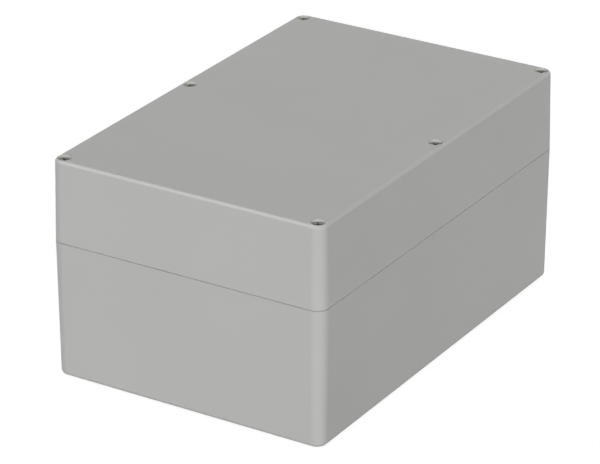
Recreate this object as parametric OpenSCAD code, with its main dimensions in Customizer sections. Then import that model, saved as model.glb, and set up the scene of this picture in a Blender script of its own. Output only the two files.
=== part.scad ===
// Screw-down plastic enclosure: a deep base, a tall lid, a seal between them and six captive lid screws.
// X runs along the long side, Y along the short side and Z up, from the middle of the underside.

/* [Shell] */
// Length at the parting line
shell_length = 240; // [200:1:300]
// Width at the parting line
shell_width = 160; // [140:1:200]
// Height of the base, from the underside to the parting line
base_height = 75; // [60:1:110]
// Height of the lid, from the parting line to the top
lid_height = 45; // [36:1:80]
// Radius of the upright corners at the parting line
corner_radius = 6.5; // [5:0.5:8]
// Draft of the base's outer walls in degrees
base_draft = 0.6; // [0:0.1:1]
// Draft of the lid's outer walls in degrees
lid_draft = 1.15; // [0:0.05:1.5]
// Draft of the base's inner walls in degrees
base_core_draft = 0.5; // [0:0.1:1]
// Draft of the lid's inner walls in degrees
lid_core_draft = 0.5; // [0:0.1:1]
// Radius round the top edge of the lid
top_edge_radius = 2; // [0.6:0.1:2.6]
// Radius round the bottom edge of the base
bottom_edge_radius = 2.2; // [0.6:0.1:2.6]
// Radius inside, where the walls meet the floor and the lid's top
core_radius = 1.5; // [0.6:0.1:2.6]
// Thickness of the base's walls at the parting line
wall_thickness = 3.2; // [2.8:0.1:4]
// Thickness of the base's floor
floor_thickness = 3; // [2:0.1:5]
// Thickness of the lid's top
top_thickness = 3; // [2.4:0.1:5]

/* [Seal] */
// Thickness of the tongue that stands on the base's rim
tongue_thickness = 1.2; // [1:0.1:1.4]
// Height of the tongue above the parting line
tongue_height = 4; // [3:0.1:5]
// Gap between the tongue and each side of the lid's groove
seal_clearance = 0.25; // [0.15:0.05:0.35]
// Thickness of the seal, pressed between the tongue and the end of the groove
seal_thickness = 2; // [1.5:0.1:3]
// Thickness of the lip inside the groove
lip_thickness = 1; // [0.8:0.1:1.4]
// Chamfer round the lid's lower outer edge, which leaves a shadow line at the parting line
seam_chamfer = 0.5; // [0.3:0.1:0.9]

/* [Posts and fixings] */
// Distance from the shell's sides to the axes of the lid screws
screw_inset = 6; // [5.8:0.1:6.4]
// Radius of the post round a middle lid screw
middle_post_radius = 5.5; // [5.4:0.1:6.5]
// Rounding of a corner post's inner edge
post_radius = 4; // [3:0.5:6]
// Rounding where a post runs into a wall
post_root_radius = 2.5; // [1.5:0.1:2.6]
// Distance from the shell's short sides to the axes of the wall fixing holes
fixing_inset_x = 8; // [8:0.5:12]
// Distance from the shell's long sides to the axes of the wall fixing holes
fixing_inset_y = 25; // [22:0.5:32]
// Diameter of a wall fixing hole
fixing_hole_diameter = 4.8; // [4:0.1:5.5]
// Width of the well above a wall fixing hole, for the screw's head and a driver
well_width = 8.5; // [8:0.1:9]
// Thickness of plastic under the fixing screw's head
fixing_seat_thickness = 5; // [3.5:0.5:8]
// Plastic round a well, up to the inside of its corner post and to the insert beside it
post_wall = 2.75; // [2.5:0.05:4]

/* [Floor bosses] */
// Distance from the shell's short sides to the axes of the floor bosses
boss_inset_x = 25; // [22:0.5:40]
// Distance from the shell's long sides to the axes of the floor bosses
boss_inset_y = 20; // [18:0.5:40]
// Diameter of a floor boss
boss_diameter = 8; // [7:0.1:9]
// Height of a floor boss above the floor
boss_height = 6; // [4:0.5:12]
// Diameter of the pilot hole in a floor boss
boss_hole_diameter = 3.2; // [2.5:0.1:4]
// Depth of the pilot hole in a floor boss
boss_hole_depth = 6; // [4:0.5:8]

/* [Board guides] */
// Distance between the upright board guides on the long walls
guide_pitch = 25; // [15:1:40]
// Width of the slot that takes a board's edge
guide_slot_width = 1.9; // [1.7:0.1:2.5]
// Width of each of the two ribs of a guide
guide_rib_width = 1.4; // [1:0.1:2]
// Depth of the slot, from the ribs' faces to the wall at the rim
guide_depth = 2.4; // [1.8:0.1:3]
// Distance from the rim down to the ribs' tops
guide_setback = 12; // [6:0.5:25]

/* [Lid screws] */
// Diameter of a screw's head
head_diameter = 6.8; // [6.2:0.1:7]
// Height of a screw's head
head_height = 2.6; // [2.2:0.1:3.2]
// Depth of the head's top below the top of the lid
head_recess = 1.2; // [0.4:0.1:1.6]
// Gap round a screw's head in its counterbore
head_clearance = 0.25; // [0.15:0.05:0.5]
// Diameter over the screw's thread
thread_diameter = 3.9; // [3.8:0.05:4]
// Length of the screw's thread
thread_length = 9; // [7:0.5:9.5]
// Diameter of the thin shank between head and thread, which keeps the screw captive
shank_diameter = 3.2; // [2.8:0.1:3.3]
// Diameter of the lid's collar that the thread can't pull through
collar_diameter = 3.6; // [3.5:0.05:3.7]
// Length of that collar
collar_length = 2; // [1.5:0.1:4]
// Diameter of the screw's bore in the lid above the collar
lid_bore_diameter = 4.6; // [4.2:0.1:5]
// Outer diameter of a threaded insert
insert_diameter = 5.5; // [5:0.1:5.8]
// Length of a threaded insert
insert_length = 10; // [8:0.5:12]
// Gap between the thread and the bore of its insert
thread_clearance = 0.1; // [0.05:0.01:0.15]
// Depth of an insert's top below the rim
insert_setback = 0.2; // [0.1:0.1:0.4]
// Depth of the free hole below an insert
insert_relief = 12; // [6:1:20]

/* [Hidden] */
$fn = 64;

overshoot = 1;
total_height = base_height + lid_height;
corner_x = shell_length / 2 - corner_radius;
corner_y = shell_width / 2 - corner_radius;
chamber_x = shell_length / 2 - wall_thickness;
chamber_y = shell_width / 2 - wall_thickness;
screw_x = shell_length / 2 - screw_inset;
screw_y = shell_width / 2 - screw_inset;
fixing_x = shell_length / 2 - fixing_inset_x;
fixing_y = shell_width / 2 - fixing_inset_y;
boss_x = shell_length / 2 - boss_inset_x;
boss_y = shell_width / 2 - boss_inset_y;
post_x = fixing_x - well_width / 2 - post_wall;
post_y = fixing_y - well_width / 2 - post_wall;
well_end = screw_y - insert_diameter / 2 - post_wall - well_width / 2;
middle_root_radius = min(post_root_radius, chamber_y - screw_y);
groove_depth = tongue_height + seal_thickness;
groove_outset = tongue_thickness + seal_clearance;
lid_inset = seal_clearance + lip_thickness;
base_core_depth = base_height - floor_thickness;
lid_core_depth = lid_height - top_thickness;
core_rise = tongue_height + overshoot;
boss_top = floor_thickness + boss_height;
guide_height = base_core_depth - guide_setback;
guide_offset = (guide_slot_width + guide_rib_width) / 2;
guide_reach = post_x - 2 * (post_root_radius + guide_offset);
guide_places = [for (i = [1:floor(guide_reach / guide_pitch)], sx = [-1, 1]) sx * i * guide_pitch];
head_top = total_height - head_recess;
head_seat = head_top - head_height;
thread_top = base_height - insert_setback;
thread_tip = thread_top - thread_length;
insert_top = base_height - insert_setback;
press_gap = 0.05;
// Axes of the lid screws: the four corners, then the middles of the long sides
screw_axes = [
    for (sx = [-1, 1], sy = [-1, 1]) [sx * screw_x, sy * screw_y],
    for (sy = [-1, 1]) [0, sy * screw_y]
];
fixing_axes = [for (sx = [-1, 1], sy = [-1, 1]) [sx * fixing_x, sy * fixing_y]];
boss_axes = [for (sx = [-1, 0, 1], sy = [-1, 1]) [sx * boss_x, sy * boss_y]];
cross_slot = [0.9, 4.2];
cross_depth = 1.7;
tip_chamfer = 0.6;
head_chamfer = 0.35;

// Section of a drafted side, corner_radius wide at the parting line, up to a rounded edge at the given height.
module wall_section(height, draft, edge_radius, chamfer = 0) {
    edge_z = height - edge_radius;
    edge_x = corner_radius - edge_z * tan(draft) - edge_radius;
    foot = [corner_radius - chamfer * tan(draft), chamfer];
    polygon(concat(
        [[0, 0], [corner_radius - chamfer, 0]],
        chamfer > 0 ? [foot] : [],
        [[edge_x + edge_radius, edge_z], [edge_x, height], [0, height]]
    ));
    translate([edge_x, edge_z]) intersection() {
        circle(edge_radius);
        square(edge_radius);
    }
}

// Solid block with drafted sides, rounded upright corners and one rounded rim, standing on the parting line.
module shell_block(height, draft, edge_radius, chamfer = 0) {
    translate([-corner_x, -corner_y, 0]) cube([2 * corner_x, 2 * corner_y, height]);
    for (side = [0:3]) {
        reach = side % 2 == 0 ? corner_x : corner_y;
        half_run = side % 2 == 0 ? corner_y : corner_x;
        rotate(90 * side) translate([reach, half_run, 0]) {
            rotate([90, 0, 0]) linear_extrude(2 * half_run)
                wall_section(height, draft, edge_radius, chamfer);
            rotate_extrude(angle = 90) wall_section(height, draft, edge_radius, chamfer);
        }
    }
}

// Fills a right-angled corner outside a round of the given radius about the origin.
module corner_fill(radius) {
    difference() {
        square(radius + overshoot);
        circle(radius);
    }
}

// Corner post that carries a lid screw and a fixing well, for a chamber whose walls are moved out by grow.
module corner_post_outline(grow) {
    left = post_x + grow;
    near = post_y + grow;
    edge = post_radius - grow;
    root = post_root_radius + grow;
    far_x = chamber_x + grow;
    far_y = chamber_y + grow;
    translate([left + edge, near + edge]) circle(edge);
    translate([left + edge, near]) square([far_x - left - edge + overshoot, far_y - near + overshoot]);
    translate([left, near + edge]) square([far_x - left + overshoot, far_y - near - edge + overshoot]);
    translate([far_x - root, near - root]) corner_fill(root);
    translate([left - root, far_y - root]) corner_fill(root);
}

// Post that carries a lid screw in the middle of a long side.
module middle_post_outline(grow) {
    radius = middle_post_radius - grow;
    root = middle_root_radius + grow;
    far_y = chamber_y + grow;
    translate([0, screw_y]) circle(radius);
    translate([-radius, screw_y]) square([2 * radius, far_y - screw_y + overshoot]);
    for (flip = [0, 1])
        mirror([flip, 0]) translate([-radius - root, far_y - root]) corner_fill(root);
}

// Sealed chamber seen from above, with its walls and posts moved out by grow.
module chamber_outline(grow) {
    difference() {
        square([2 * (chamber_x + grow), 2 * (chamber_y + grow)], center = true);
        for (flip_x = [0, 1], flip_y = [0, 1])
            mirror([flip_x, 0]) mirror([0, flip_y]) corner_post_outline(grow);
        for (flip_y = [0, 1])
            mirror([0, flip_y]) middle_post_outline(grow);
    }
}

// Space inside a shell below its parting line at z = 0: the chamber's outline, narrowed by its draft.
module chamber_core(depth, grow, draft) {
    half_x = chamber_x + grow;
    half_y = chamber_y + grow;
    intersection() {
        translate([0, 0, -depth]) linear_extrude(depth + core_rise) chamber_outline(grow);
        drafted_slab(half_x, half_y, depth, draft);
        rotate(90) drafted_slab(half_y, half_x, depth, draft);
    }
}

// Slab below z = 0 with two drafted sides and rounded lower edges, which clears the shell along Y and above.
module drafted_slab(half_x, half_y, depth, draft) {
    inner_x = half_x - corner_radius;
    clear_x = half_x + overshoot;
    clear_y = half_y + overshoot;
    translate([0, clear_y, 0]) rotate([90, 0, 0]) linear_extrude(2 * clear_y) {
        for (flip = [0, 1])
            mirror([flip, 0]) translate([inner_x, 0]) mirror([0, 1]) wall_section(depth, draft, core_radius);
        translate([-inner_x, -depth]) square([2 * inner_x, depth]);
        translate([-clear_x, 0]) square([2 * clear_x, core_rise]);
    }
}

// Pairs of upright ribs on the long walls, each with a slot for a board's edge.
module board_guides() {
    for (x = guide_places, flip = [0, 1], rib = [-1, 1])
        mirror([0, flip, 0])
            translate([x + rib * guide_offset, chamber_y - guide_depth, floor_thickness])
                translate([-guide_rib_width / 2, 0, 0])
                    cube([guide_rib_width, guide_depth + overshoot, guide_height]);
}

// Wells with round ends from z = low to z = high, each from a fixing hole towards the lid screw beside it.
module fixing_wells(low, high) {
    run = well_end - fixing_y;
    for (flip_x = [0, 1], flip_y = [0, 1])
        mirror([flip_x, 0, 0]) mirror([0, flip_y, 0]) translate([fixing_x, fixing_y, low])
            linear_extrude(high - low) {
                circle(d = well_width);
                translate([0, run]) circle(d = well_width);
                translate([-well_width / 2, 0]) square([well_width, run]);
            }
}

module at(axes, z) {
    for (axis = axes) translate([axis[0], axis[1], z]) children();
}

module base() {
    color("#b2b4b1") difference() {
        union() {
            difference() {
                union() {
                    translate([0, 0, base_height]) mirror([0, 0, 1])
                        shell_block(base_height, base_draft, bottom_edge_radius);
                    translate([0, 0, base_height - overshoot])
                        linear_extrude(tongue_height + overshoot) chamber_outline(tongue_thickness);
                }
                translate([0, 0, base_height]) chamber_core(base_core_depth, 0, base_core_draft);
            }
            board_guides();
            at(boss_axes, floor_thickness - overshoot)
                cylinder(d = boss_diameter, h = boss_height + overshoot);
        }
        at(boss_axes, boss_top - boss_hole_depth)
            cylinder(d = boss_hole_diameter, h = boss_hole_depth + overshoot);
        at(screw_axes, insert_top - insert_length)
            cylinder(d = insert_diameter + 2 * press_gap, h = insert_length + insert_setback + overshoot);
        at(screw_axes, insert_top - insert_length - insert_relief)
            cylinder(d = thread_diameter + 2 * thread_clearance, h = insert_relief + overshoot);
        at(fixing_axes, -overshoot)
            cylinder(d = fixing_hole_diameter, h = fixing_seat_thickness + 2 * overshoot);
        fixing_wells(fixing_seat_thickness, base_height + overshoot);
    }
}

module lid() {
    color("#b2b4b1") difference() {
        translate([0, 0, base_height]) shell_block(lid_height, lid_draft, top_edge_radius, seam_chamfer);
        translate([0, 0, base_height]) mirror([0, 0, 1])
            chamber_core(lid_core_depth, -lid_inset, lid_core_draft);
        translate([0, 0, base_height - overshoot])
            linear_extrude(groove_depth + overshoot) difference() {
                chamber_outline(groove_outset);
                chamber_outline(-seal_clearance);
            }
        fixing_wells(base_height - overshoot, total_height - top_thickness);
        at(screw_axes, base_height - overshoot)
            cylinder(d = collar_diameter, h = lid_height);
        at(screw_axes, base_height + collar_length)
            cylinder(d = lid_bore_diameter, h = lid_height);
        at(screw_axes, head_seat)
            cylinder(d = head_diameter + 2 * head_clearance, h = lid_height);
    }
}

module gasket() {
    color("#3a3b3a") translate([0, 0, base_height + tongue_height])
        linear_extrude(seal_thickness) difference() {
            chamber_outline(groove_outset - press_gap);
            chamber_outline(press_gap - seal_clearance);
        }
}

// Cross recess of a screw head, open upwards from the head's top.
module cross_recess() {
    for (turn = [0, 90])
        rotate(turn) translate([-cross_slot[0] / 2, -cross_slot[1] / 2, -cross_depth])
            cube([cross_slot[0], cross_slot[1], cross_depth + overshoot]);
}

module lid_screw() {
    head = head_diameter / 2;
    shank = shank_diameter / 2;
    thread = thread_diameter / 2;
    difference() {
        rotate_extrude() polygon([
            [0, thread_tip], [thread - tip_chamfer, thread_tip], [thread, thread_tip + tip_chamfer],
            [thread, thread_top], [shank, thread_top], [shank, head_seat], [head, head_seat],
            [head, head_top - head_chamfer], [head - head_chamfer, head_top], [0, head_top]
        ]);
        translate([0, 0, head_top]) cross_recess();
    }
}

module lid_screws() {
    color("#7d7d74") at(screw_axes, 0) lid_screw();
}

module threaded_inserts() {
    color("#b5944a") at(screw_axes, insert_top - insert_length) difference() {
        cylinder(d = insert_diameter, h = insert_length);
        translate([0, 0, -overshoot])
            cylinder(d = thread_diameter + 2 * thread_clearance, h = insert_length + 2 * overshoot);
    }
}

base();
lid();
gasket();
lid_screws();
threaded_inserts();
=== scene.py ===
"""Looks of the screw-down plastic enclosure: grey shells, a foam seal, steel screws and brass inserts."""

import math

import bmesh
import bpy
from mathutils import Matrix, Vector


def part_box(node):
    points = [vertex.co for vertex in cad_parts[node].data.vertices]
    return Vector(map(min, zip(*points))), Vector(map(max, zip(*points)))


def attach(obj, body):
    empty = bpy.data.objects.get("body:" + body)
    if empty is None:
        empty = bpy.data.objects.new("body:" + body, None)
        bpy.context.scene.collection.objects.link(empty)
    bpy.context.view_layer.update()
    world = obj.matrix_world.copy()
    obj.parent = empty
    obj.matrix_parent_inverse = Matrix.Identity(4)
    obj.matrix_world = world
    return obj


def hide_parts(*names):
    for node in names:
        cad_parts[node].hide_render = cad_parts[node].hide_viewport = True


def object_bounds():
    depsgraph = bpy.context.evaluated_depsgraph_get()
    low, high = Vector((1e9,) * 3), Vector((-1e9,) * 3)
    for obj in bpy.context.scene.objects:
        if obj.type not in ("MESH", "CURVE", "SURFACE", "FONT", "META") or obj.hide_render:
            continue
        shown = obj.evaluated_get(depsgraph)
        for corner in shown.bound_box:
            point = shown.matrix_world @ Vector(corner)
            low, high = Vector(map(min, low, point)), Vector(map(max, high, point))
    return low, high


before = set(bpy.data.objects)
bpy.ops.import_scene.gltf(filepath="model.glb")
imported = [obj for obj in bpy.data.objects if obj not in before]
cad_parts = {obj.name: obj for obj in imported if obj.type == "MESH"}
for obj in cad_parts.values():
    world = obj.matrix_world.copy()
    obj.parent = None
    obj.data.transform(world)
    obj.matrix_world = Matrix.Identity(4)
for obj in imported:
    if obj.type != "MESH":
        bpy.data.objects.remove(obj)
cad_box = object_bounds()

MM = 0.001

# Camera: its direction from the object, its distance and the point that it looks at
CAMERA_AZIMUTH = math.radians(-58.40)
CAMERA_ELEVATION = math.radians(24.72)
CAMERA_ROLL = math.radians(0.02)
CAMERA_DISTANCE = 1.7564
CAMERA_AIM_RIGHT = -0.00533
CAMERA_AIM_UP = -0.00703
SENSOR_WIDTH_MM = 36.0
LENS_MM = 201.71

# Light: the level that each lamp gives a white surface facing it, and the ambient level. The key and the
# lamps for the far sides don't show in gloss, so no face mirrors them; the glint shows in gloss alone
KEY_LEVEL = 0.872
KEY_SPREAD = math.radians(20)
KEY_AZIMUTH = math.radians(-58.2)
KEY_ELEVATION = math.radians(24)
RIGHT_LEVEL = 0.8
RIGHT_DIRECTION = Vector((1, 0.2, 0.03))
BACK_LEVEL = 0.45
BACK_DIRECTION = Vector((0.2, 1, 0.03))
SIDE_SPREAD = math.radians(20)
GLINT_LEVEL = 1.5
GLINT_SPREAD = math.radians(30)
GLINT_DIRECTION = Vector((-0.45, 0.48, 0.75))
AMBIENT_LEVEL = 0.347

# Floor: its tone in bounced light, and the shaded and steady parts of what the camera sees of it
FLOOR_SIZE = 6.0
FLOOR_DROP = 0.2 * MM
FLOOR_TONE = 0.30
FLOOR_SHADE = 0.35
FLOOR_LIFT = 0.76

# Colours, linear
HOUSING_COLOUR = (0.445, 0.450, 0.437)
SEAL_COLOUR = (0.045, 0.046, 0.047)
STEEL_COLOUR = (0.265, 0.265, 0.223)
BRASS_COLOUR = (0.66, 0.47, 0.19)

# Surfaces: the reflection of the dull materials, and the values that noise mostly lies between
DULL_SPECULAR = 0.2
NOISE_LOW = 0.3
NOISE_HIGH = 0.7

# Lid screws, in millimetres: their heights and axes come from the boxes of the CAD parts in model.glb
HEAD_RADIUS = 3.4
HEAD_HEIGHT = 2.6
HEAD_ROUND = 0.35
HEAD_CHAMFER = 0.1
SHANK_RADIUS = 1.6
SHANK_FILLET = 0.3
THREAD_RADIUS = 1.95
THREAD_ROOT = 1.58
THREAD_LENGTH = 9.0
THREAD_LEAD = 0.3
THREAD_PITCH = 0.7
TIP_CHAMFER = 0.6
CROSS_REACH = 2.1
CROSS_HALF_WIDTH = 0.45
CROSS_DEPTH = 1.7
CROSS_RISE = 0.3
CROSS_TAPER = 0.84

# Threaded inserts, in millimetres
INSERT_RADIUS = 2.75
INSERT_BORE = 2.05
INSERT_GROOVE = 0.2
INSERT_CHAMFER = 0.3
KNURL_TEETH = 30
KNURL_DEPTH = 0.12
WAIST_DEPTH = 0.3
BAND_GAP = 1.2

# Degrees that each fastener is turned by, in the order of fastener_axes()
SCREW_TURNS = (30, 60, 70, 45, 80, 40)
INSERT_TURNS = (0, 0, 0, 0, 0, 0)

# Fineness of the meshes, and the share of a thread's depth that its flat roots and crests cut off
SCREW_SIDES = 48
HEAD_STEPS = 4
FILLET_STEPS = 3
ROWS_PER_PITCH = 8
THREAD_FLAT = 0.1
SHARP_ANGLE = math.radians(32)


def direction(azimuth, elevation):
    """Unit vector from the object towards an azimuth and elevation; azimuth 0 is the -Y side."""
    level = math.cos(elevation)
    return Vector((math.sin(azimuth) * level, -math.cos(azimuth) * level, math.sin(elevation)))


def link(obj):
    """Puts an object into the scene."""
    bpy.context.scene.collection.objects.link(obj)
    return obj


def mesh_from(name, shape):
    """Mesh made from a bmesh, which is then freed."""
    mesh = bpy.data.meshes.new(name)
    shape.to_mesh(mesh)
    shape.free()
    return mesh


class Nodes:
    """Small helper that adds and joins the nodes of one material or world."""

    def __init__(self, owner):
        owner.use_nodes = True
        self.tree = owner.node_tree
        self.tree.nodes.clear()

    def add(self, kind, **settings):
        """New node; a setting is one of its own properties, or else the value of an input with that name."""
        node = self.tree.nodes.new(kind)
        for name, value in settings.items():
            if hasattr(node, name):
                setattr(node, name, value)
            else:
                node.inputs[name.replace("_", " ")].default_value = value
        return node

    def join(self, output, socket):
        self.tree.links.new(output, socket)

    def seen_directly(self):
        """1 for camera, glossy and transmission rays, else 0."""
        path = self.add("ShaderNodeLightPath")
        total = path.outputs["Is Camera Ray"]
        for name in ("Is Glossy Ray", "Is Transmission Ray"):
            either = self.add("ShaderNodeMath", operation="MAXIMUM")
            self.join(total, either.inputs[0])
            self.join(path.outputs[name], either.inputs[1])
            total = either.outputs[0]
        return total

    def noise(self, where, scale, detail=2.0):
        texture = self.add("ShaderNodeTexNoise", Scale=scale, Detail=detail)
        self.join(where, texture.inputs["Vector"])
        return texture.outputs["Fac"]

    def spread(self, value, low, high):
        """Noise stretched to the range from low to high."""
        range_node = self.add(
            "ShaderNodeMapRange", From_Min=NOISE_LOW, From_Max=NOISE_HIGH, To_Min=low, To_Max=high
        )
        self.join(value, range_node.inputs["Value"])
        return range_node.outputs["Result"]

    def toned(self, colour, tone):
        """Colour multiplied by a tone near 1."""
        scaled = self.add("ShaderNodeVectorMath", operation="SCALE")
        scaled.inputs[0].default_value = colour
        self.join(tone, scaled.inputs["Scale"])
        return scaled.outputs["Vector"]

    def bump(self, height, strength, distance):
        node = self.add("ShaderNodeBump", Strength=strength, Distance=distance)
        self.join(height, node.inputs["Height"])
        return node.outputs["Normal"]

    def finish(self, shader):
        out = self.add("ShaderNodeOutputMaterial")
        self.join(shader.outputs[0], out.inputs["Surface"])


def material(name):
    """New material, and the helper for its nodes."""
    made = bpy.data.materials.new(name)
    return made, Nodes(made)


def dress(node, made):
    """Gives a CAD node one material."""
    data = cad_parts[node].data
    data.materials.clear()
    data.materials.append(made)


def housing_material():
    """Satin moulded plastic: slow drifts of tone and gloss, and a fine eroded grain."""
    made, nodes = material("housing_plastic")
    where = nodes.add("ShaderNodeTexCoord").outputs["Object"]
    shader = nodes.add("ShaderNodeBsdfPrincipled")
    shader.inputs["Specular IOR Level"].default_value = DULL_SPECULAR
    drift = nodes.spread(nodes.noise(where, scale=14), low=0.985, high=1.015)
    nodes.join(nodes.toned(HOUSING_COLOUR, drift), shader.inputs["Base Color"])
    roughness = nodes.spread(nodes.noise(where, scale=60), low=0.48, high=0.52)
    nodes.join(roughness, shader.inputs["Roughness"])
    grain = nodes.bump(nodes.noise(where, scale=2600, detail=3), strength=0.10, distance=0.05 * MM)
    nodes.join(grain, shader.inputs["Normal"])
    nodes.finish(shader)
    return made


def seal_material():
    """Closed-cell foam rubber: dull, with small pores."""
    made, nodes = material("seal_rubber")
    where = nodes.add("ShaderNodeTexCoord").outputs["Object"]
    shader = nodes.add("ShaderNodeBsdfPrincipled")
    shader.inputs["Specular IOR Level"].default_value = DULL_SPECULAR
    mottle = nodes.spread(nodes.noise(where, scale=900), low=0.75, high=1.35)
    nodes.join(nodes.toned(SEAL_COLOUR, mottle), shader.inputs["Base Color"])
    roughness = nodes.spread(nodes.noise(where, scale=300), low=0.78, high=0.92)
    nodes.join(roughness, shader.inputs["Roughness"])
    pores = nodes.add("ShaderNodeTexVoronoi", Scale=2400.0)
    nodes.join(where, pores.inputs["Vector"])
    skin = nodes.bump(pores.outputs["Distance"], strength=0.5, distance=0.15 * MM)
    nodes.join(skin, shader.inputs["Normal"])
    nodes.finish(shader)
    return made


def turned_metal(name, colour, smooth, rough):
    """Metal with the fine rings that turning leaves, along the attribute that add_fasteners() writes."""
    made, nodes = material(name)
    where = nodes.add("ShaderNodeTexCoord").outputs["Object"]
    along = nodes.add("ShaderNodeAttribute", attribute_name="turned").outputs["Fac"]
    shader = nodes.add("ShaderNodeBsdfPrincipled", Metallic=1.0)
    rings = nodes.add("ShaderNodeTexNoise", noise_dimensions="1D", Scale=9.0, Detail=3.0)
    nodes.join(along, rings.inputs["W"])
    patina = nodes.spread(nodes.noise(where, scale=700, detail=3), low=0.86, high=1.12)
    nodes.join(nodes.toned(colour, patina), shader.inputs["Base Color"])
    roughness = nodes.spread(rings.outputs["Fac"], low=smooth, high=rough)
    nodes.join(roughness, shader.inputs["Roughness"])
    ridges = nodes.bump(rings.outputs["Fac"], strength=0.25, distance=0.04 * MM)
    nodes.join(ridges, shader.inputs["Normal"])
    nodes.finish(shader)
    return made


def join_rings(shape, rings, close):
    """Joins rings of points with quads, and caps both ends or closes the last ring onto the first."""
    pairs = list(zip(rings, rings[1:]))
    if close:
        pairs.append((rings[-1], rings[0]))
    else:
        shape.faces.new(rings[0])
        shape.faces.new(reversed(rings[-1]))
    for upper, lower in pairs:
        for step in range(len(upper)):
            after = (step + 1) % len(upper)
            shape.faces.new((upper[step], lower[step], lower[after], upper[after]))
    bmesh.ops.recalc_face_normals(shape, faces=shape.faces)


def lathe(rows, sides, close):
    """Shape turned from rows of (height, radius), where a radius can also be a function of the angle."""
    shape = bmesh.new()
    rings = []
    for height, radius in rows:
        ring = []
        for step in range(sides):
            angle = 2 * math.pi * step / sides
            reach = radius(angle) if callable(radius) else radius
            ring.append(shape.verts.new((reach * math.cos(angle), reach * math.sin(angle), height)))
        rings.append(ring)
    join_rings(shape, rings, close)
    return shape


def quarter_turn(steps):
    """Angles along a quarter circle, without its start."""
    return [math.pi / 2 * step / steps for step in range(1, steps + 1)]


def thread_heights(start, end):
    """Heights from start to end, close enough together to draw a thread."""
    count = round(abs(end - start) / THREAD_PITCH * ROWS_PER_PITCH)
    return [start + (end - start) * step / count for step in range(count + 1)]


def helix_height(angle, height):
    """0 at the root and 1 at the crest of a thread with flat roots and crests."""
    phase = (height / THREAD_PITCH - angle / (2 * math.pi)) % 1
    ridge = 1 - 2 * abs(phase - 0.5)
    return min(1, max(0, (1 + 2 * THREAD_FLAT) * ridge - THREAD_FLAT))


def screw_mesh(top, tip):
    """One captive lid screw on the Z axis: cross head, thin shank and threaded end."""
    seat = top - HEAD_HEIGHT
    thread_top = tip + THREAD_LENGTH
    rows = [(top, HEAD_RADIUS - HEAD_ROUND)]
    for angle in quarter_turn(HEAD_STEPS):
        drop = HEAD_ROUND * (1 - math.cos(angle))
        inset = HEAD_ROUND * (1 - math.sin(angle))
        rows.append((top - drop, HEAD_RADIUS - inset))
    rows.append((seat + HEAD_CHAMFER, HEAD_RADIUS))
    rows.append((seat, HEAD_RADIUS - HEAD_CHAMFER))
    rows.append((seat, SHANK_RADIUS + SHANK_FILLET))
    for angle in quarter_turn(FILLET_STEPS):
        drop = SHANK_FILLET * (1 - math.cos(angle))
        outset = SHANK_FILLET * (1 - math.sin(angle))
        rows.append((seat - drop, SHANK_RADIUS + outset))
    rows.append((thread_top + THREAD_LEAD, SHANK_RADIUS))
    for height in thread_heights(thread_top, tip):
        rows.append((height, thread_radius(height, thread_top, tip)))
    return cut_cross(lathe(rows, SCREW_SIDES, close=False), top)


def thread_radius(height, thread_top, tip):
    """Radius of the thread at a height, as a function of the angle, run out at both ends."""
    depth = THREAD_RADIUS - THREAD_ROOT
    run_out = min(1, (thread_top - height) / THREAD_PITCH, (height - tip) / THREAD_PITCH)
    cone = THREAD_RADIUS - max(0, tip + TIP_CHAMFER - height)

    def radius(angle):
        ridge = THREAD_ROOT + depth * run_out * helix_height(angle, height)
        return min(ridge, cone)

    return radius


def cross_outline(reach, half_width, height):
    """Twelve corners of a cross about the Z axis."""
    corners = []
    for turn in range(4):
        angle = turn * math.pi / 2
        along = Vector((math.cos(angle), math.sin(angle), 0))
        across = Vector((-math.sin(angle), math.cos(angle), 0))
        for u, v in ((half_width, -half_width), (reach, -half_width), (reach, half_width)):
            corners.append(along * u + across * v + Vector((0, 0, height)))
    return corners


def cross_cutter(top):
    """Tapered cross that reaches into a screw's head and stands a little above it."""
    shape = bmesh.new()
    sections = (
        (CROSS_REACH, CROSS_HALF_WIDTH, top + CROSS_RISE),
        (CROSS_REACH, CROSS_HALF_WIDTH, top),
        (CROSS_REACH * CROSS_TAPER, CROSS_HALF_WIDTH * CROSS_TAPER, top - CROSS_DEPTH),
    )
    rings = [[shape.verts.new(corner) for corner in cross_outline(*section)] for section in sections]
    join_rings(shape, rings, close=False)
    return shape


def cut_cross(body, top):
    """Mesh of a screw with the cross recess taken out of its head."""
    screw = link(bpy.data.objects.new("screw", mesh_from("screw", body)))
    cutter = link(bpy.data.objects.new("cutter", mesh_from("cutter", cross_cutter(top))))
    modifier = screw.modifiers.new("cross", "BOOLEAN")
    modifier.operation = "DIFFERENCE"
    modifier.solver = "EXACT"
    modifier.object = cutter
    cut = bpy.data.meshes.new_from_object(screw.evaluated_get(bpy.context.evaluated_depsgraph_get()))
    bpy.data.objects.remove(screw)
    bpy.data.objects.remove(cutter)
    return cut


def knurl_radius(angle):
    """Radius of an insert's knurled bands: teeth and gaps of equal width."""
    tooth = (angle / (2 * math.pi) * KNURL_TEETH) % 1
    return INSERT_RADIUS - KNURL_DEPTH * (tooth >= 0.5)


def insert_thread(height):
    """Radius of an insert's inner thread at a height, as a function of the angle."""
    return lambda angle: INSERT_BORE + INSERT_GROOVE * helix_height(angle, height)


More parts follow.
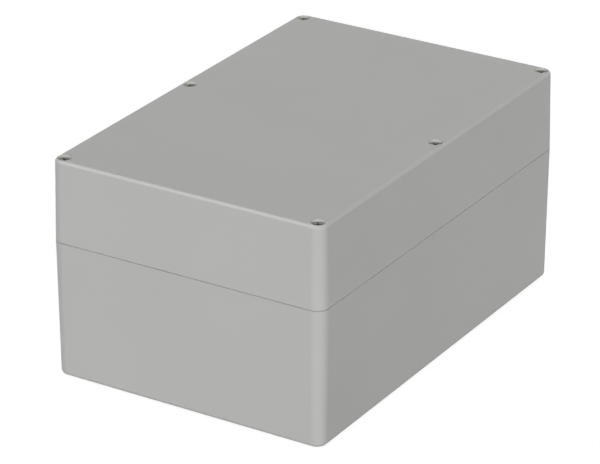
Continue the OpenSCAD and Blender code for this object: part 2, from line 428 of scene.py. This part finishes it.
def insert_mesh(top, bottom):
    """One brass insert on the Z axis: two knurled bands outside and a thread inside."""
    middle = (top + bottom) / 2
    low, high = bottom + INSERT_CHAMFER, top - INSERT_CHAMFER
    waist = INSERT_RADIUS - WAIST_DEPTH
    rows = [
        (top, INSERT_RADIUS - INSERT_CHAMFER),
        (high, knurl_radius),
        (middle + BAND_GAP / 2, knurl_radius),
        (middle + BAND_GAP / 2, waist),
        (middle - BAND_GAP / 2, waist),
        (middle - BAND_GAP / 2, knurl_radius),
        (low, knurl_radius),
        (bottom, INSERT_RADIUS - INSERT_CHAMFER),
        (bottom, INSERT_BORE + INSERT_CHAMFER),
    ]
    for height in thread_heights(low, high):
        rows.append((height, insert_thread(height)))
    rows.append((top, INSERT_BORE + INSERT_CHAMFER))
    return mesh_from("insert", lathe(rows, 2 * KNURL_TEETH, close=True))


def fastener_axes(node, radius):
    """Axes of the fasteners in a node, from its box: the four corners and the middles of the long sides."""
    low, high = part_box(node)
    columns = (low.x + radius * MM, 0, high.x - radius * MM)
    rows = (low.y + radius * MM, high.y - radius * MM)
    return [Vector((x, y, 0)) for x in columns for y in rows]


def add_fasteners(name, node, body, single, radius, made, turns):
    """Puts a copy of one fastener, drawn in millimetres and turned, on each axis of a node, as one piece."""
    turned = single.attributes.new("turned", "FLOAT", "POINT")
    for vertex, value in zip(single.vertices, turned.data):
        value.value = vertex.co.z + vertex.co.xy.length
    single.transform(Matrix.Scale(MM, 4))
    every = bmesh.new()
    for axis, turn in zip(fastener_axes(node, radius), turns):
        place = Matrix.Translation(axis) @ Matrix.Rotation(math.radians(turn), 4, "Z")
        single.transform(place)
        every.from_mesh(single)
        single.transform(place.inverted())
    mesh = mesh_from(name, every)
    mesh.shade_smooth()
    mesh.set_sharp_from_angle(angle=SHARP_ANGLE)
    mesh.materials.clear()
    mesh.materials.append(made)
    piece = link(bpy.data.objects.new(name, mesh))
    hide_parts(node)
    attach(piece, body)


def add_screws():
    """Detailed screws in place of the CAD ones, moving with the lid."""
    low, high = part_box("lid_screws")
    add_fasteners(
        "captive_screws", "lid_screws", "lid",
        screw_mesh(high.z / MM, low.z / MM), HEAD_RADIUS,
        turned_metal("screw_steel", STEEL_COLOUR, smooth=0.28, rough=0.42), SCREW_TURNS,
    )


def add_inserts():
    """Detailed inserts in place of the CAD ones, fixed in the base."""
    low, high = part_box("threaded_inserts")
    add_fasteners(
        "brass_inserts", "threaded_inserts", "base",
        insert_mesh(high.z / MM, low.z / MM), INSERT_RADIUS,
        turned_metal("insert_brass", BRASS_COLOUR, smooth=0.24, rough=0.38), INSERT_TURNS,
    )


def add_camera():
    """Camera of the photo's view, aimed beside the middle of the part's box."""
    lens = bpy.data.cameras.new("camera")
    lens.sensor_fit = "HORIZONTAL"
    lens.sensor_width = SENSOR_WIDTH_MM
    lens.lens = LENS_MM
    back = direction(CAMERA_AZIMUTH, CAMERA_ELEVATION)
    right = Vector((0, 0, 1)).cross(back).normalized()
    up = back.cross(right)
    middle = (cad_box[0] + cad_box[1]) / 2
    aim = middle + right * CAMERA_AIM_RIGHT + up * CAMERA_AIM_UP
    turn = Matrix((right, up, back)).transposed() @ Matrix.Rotation(CAMERA_ROLL, 3, "Z")
    camera = link(bpy.data.objects.new("camera", lens))
    camera.matrix_world = Matrix.Translation(aim + back * CAMERA_DISTANCE) @ turn.to_4x4()
    bpy.context.scene.camera = camera


def add_sun(name, towards, level, spread, diffuse=True, glossy=True):
    """Broad soft lamp far away in a direction, which gives a facing white surface that level."""
    lamp = bpy.data.lights.new(name, "SUN")
    lamp.energy = level * math.pi
    lamp.angle = spread
    sun = link(bpy.data.objects.new(name, lamp))
    sun.rotation_euler = towards.to_track_quat("Z", "Y").to_euler()
    sun.location = towards.normalized()
    sun.visible_diffuse = diffuse
    sun.visible_glossy = glossy


def add_lamps():
    """Key from the camera's side, lamps for the two far sides, and a glint along the lid's top edge."""
    add_sun("key", direction(KEY_AZIMUTH, KEY_ELEVATION), KEY_LEVEL, KEY_SPREAD, glossy=False)
    add_sun("right", RIGHT_DIRECTION, RIGHT_LEVEL, SIDE_SPREAD, glossy=False)
    add_sun("back", BACK_DIRECTION, BACK_LEVEL, SIDE_SPREAD, glossy=False)
    add_sun("glint", GLINT_DIRECTION, GLINT_LEVEL, GLINT_SPREAD, diffuse=False)


def add_world():
    """Even ambient light, with plain white where the surroundings are seen directly."""
    world = bpy.data.worlds.new("studio")
    nodes = Nodes(world)
    ambient = nodes.add("ShaderNodeBackground", Color=(1, 1, 1, 1), Strength=AMBIENT_LEVEL)
    white = nodes.add("ShaderNodeBackground", Color=(1, 1, 1, 1), Strength=1.0)
    mix = nodes.add("ShaderNodeMixShader")
    nodes.join(nodes.seen_directly(), mix.inputs["Fac"])
    nodes.join(ambient.outputs[0], mix.inputs[1])
    nodes.join(white.outputs[0], mix.inputs[2])
    out = nodes.add("ShaderNodeOutputWorld")
    nodes.join(mix.outputs[0], out.inputs["Surface"])
    bpy.context.scene.world = world


def floor_material():
    """Pale matt floor: white where it is seen in full light, with the part's shadow kept."""
    made, nodes = material("pale_floor")
    plain = nodes.add("ShaderNodeBsdfDiffuse", Color=(FLOOR_TONE, FLOOR_TONE, FLOOR_TONE, 1))
    pale = nodes.add("ShaderNodeBsdfDiffuse", Color=(FLOOR_SHADE, FLOOR_SHADE, FLOOR_SHADE, 1))
    lift = nodes.add("ShaderNodeEmission", Color=(1, 1, 1, 1), Strength=FLOOR_LIFT)
    lifted = nodes.add("ShaderNodeAddShader")
    nodes.join(pale.outputs[0], lifted.inputs[0])
    nodes.join(lift.outputs[0], lifted.inputs[1])
    mix = nodes.add("ShaderNodeMixShader")
    nodes.join(nodes.seen_directly(), mix.inputs["Fac"])
    nodes.join(plain.outputs[0], mix.inputs[1])
    nodes.join(lifted.outputs[0], mix.inputs[2])
    nodes.finish(mix)
    return made


def add_floor():
    """Square floor just under the part."""
    half = FLOOR_SIZE / 2
    mesh = bpy.data.meshes.new("floor")
    corners = [(-half, -half, 0), (half, -half, 0), (half, half, 0), (-half, half, 0)]
    mesh.from_pydata(corners, [], [(0, 1, 2, 3)])
    mesh.materials.append(floor_material())
    floor = link(bpy.data.objects.new("floor", mesh))
    floor.location.z = cad_box[0].z - FLOOR_DROP


bpy.context.scene.view_settings.view_transform = "Standard"
housing = housing_material()
dress("base", housing)
dress("lid", housing)
dress("gasket", seal_material())
add_screws()
add_inserts()
add_camera()
add_world()
add_floor()
add_lamps()
